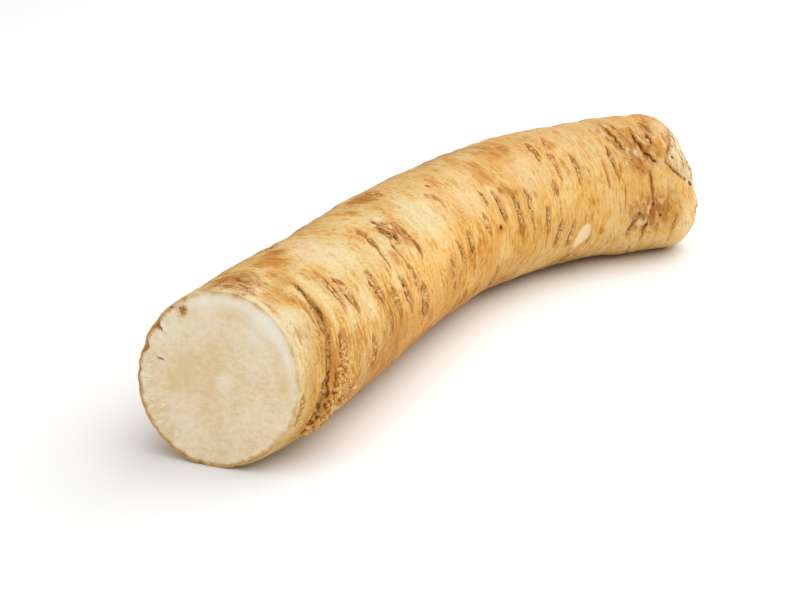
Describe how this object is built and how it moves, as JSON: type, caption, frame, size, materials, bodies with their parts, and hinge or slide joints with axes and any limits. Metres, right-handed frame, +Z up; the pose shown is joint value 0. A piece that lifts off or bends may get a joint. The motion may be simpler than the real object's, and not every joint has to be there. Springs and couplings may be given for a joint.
{
  "type": "horseradish root",
  "caption": "Fresh horseradish root lying on its side: a thick bent taproot with ringed tan skin and lens-shaped corky scars, cut across at one end and trimmed at the crown.",
  "frame": {"origin": "centre of the bounding box in plan, at the height of the surface the root lies on", "axes": "+X from the cut end to the crown, +Z up; the crown end bends towards -Y"},
  "size_m": [0.2615, 0.0723, 0.0485],
  "materials": {
    "root_skin": "golden tan root skin with paler patches, fine rings and brown corky scars, satin; cream fibrous flesh on the cut"
  },
  "bodies": {
    "root": {"horseradish_root": "root_skin"}
  },
  "joints": []
}
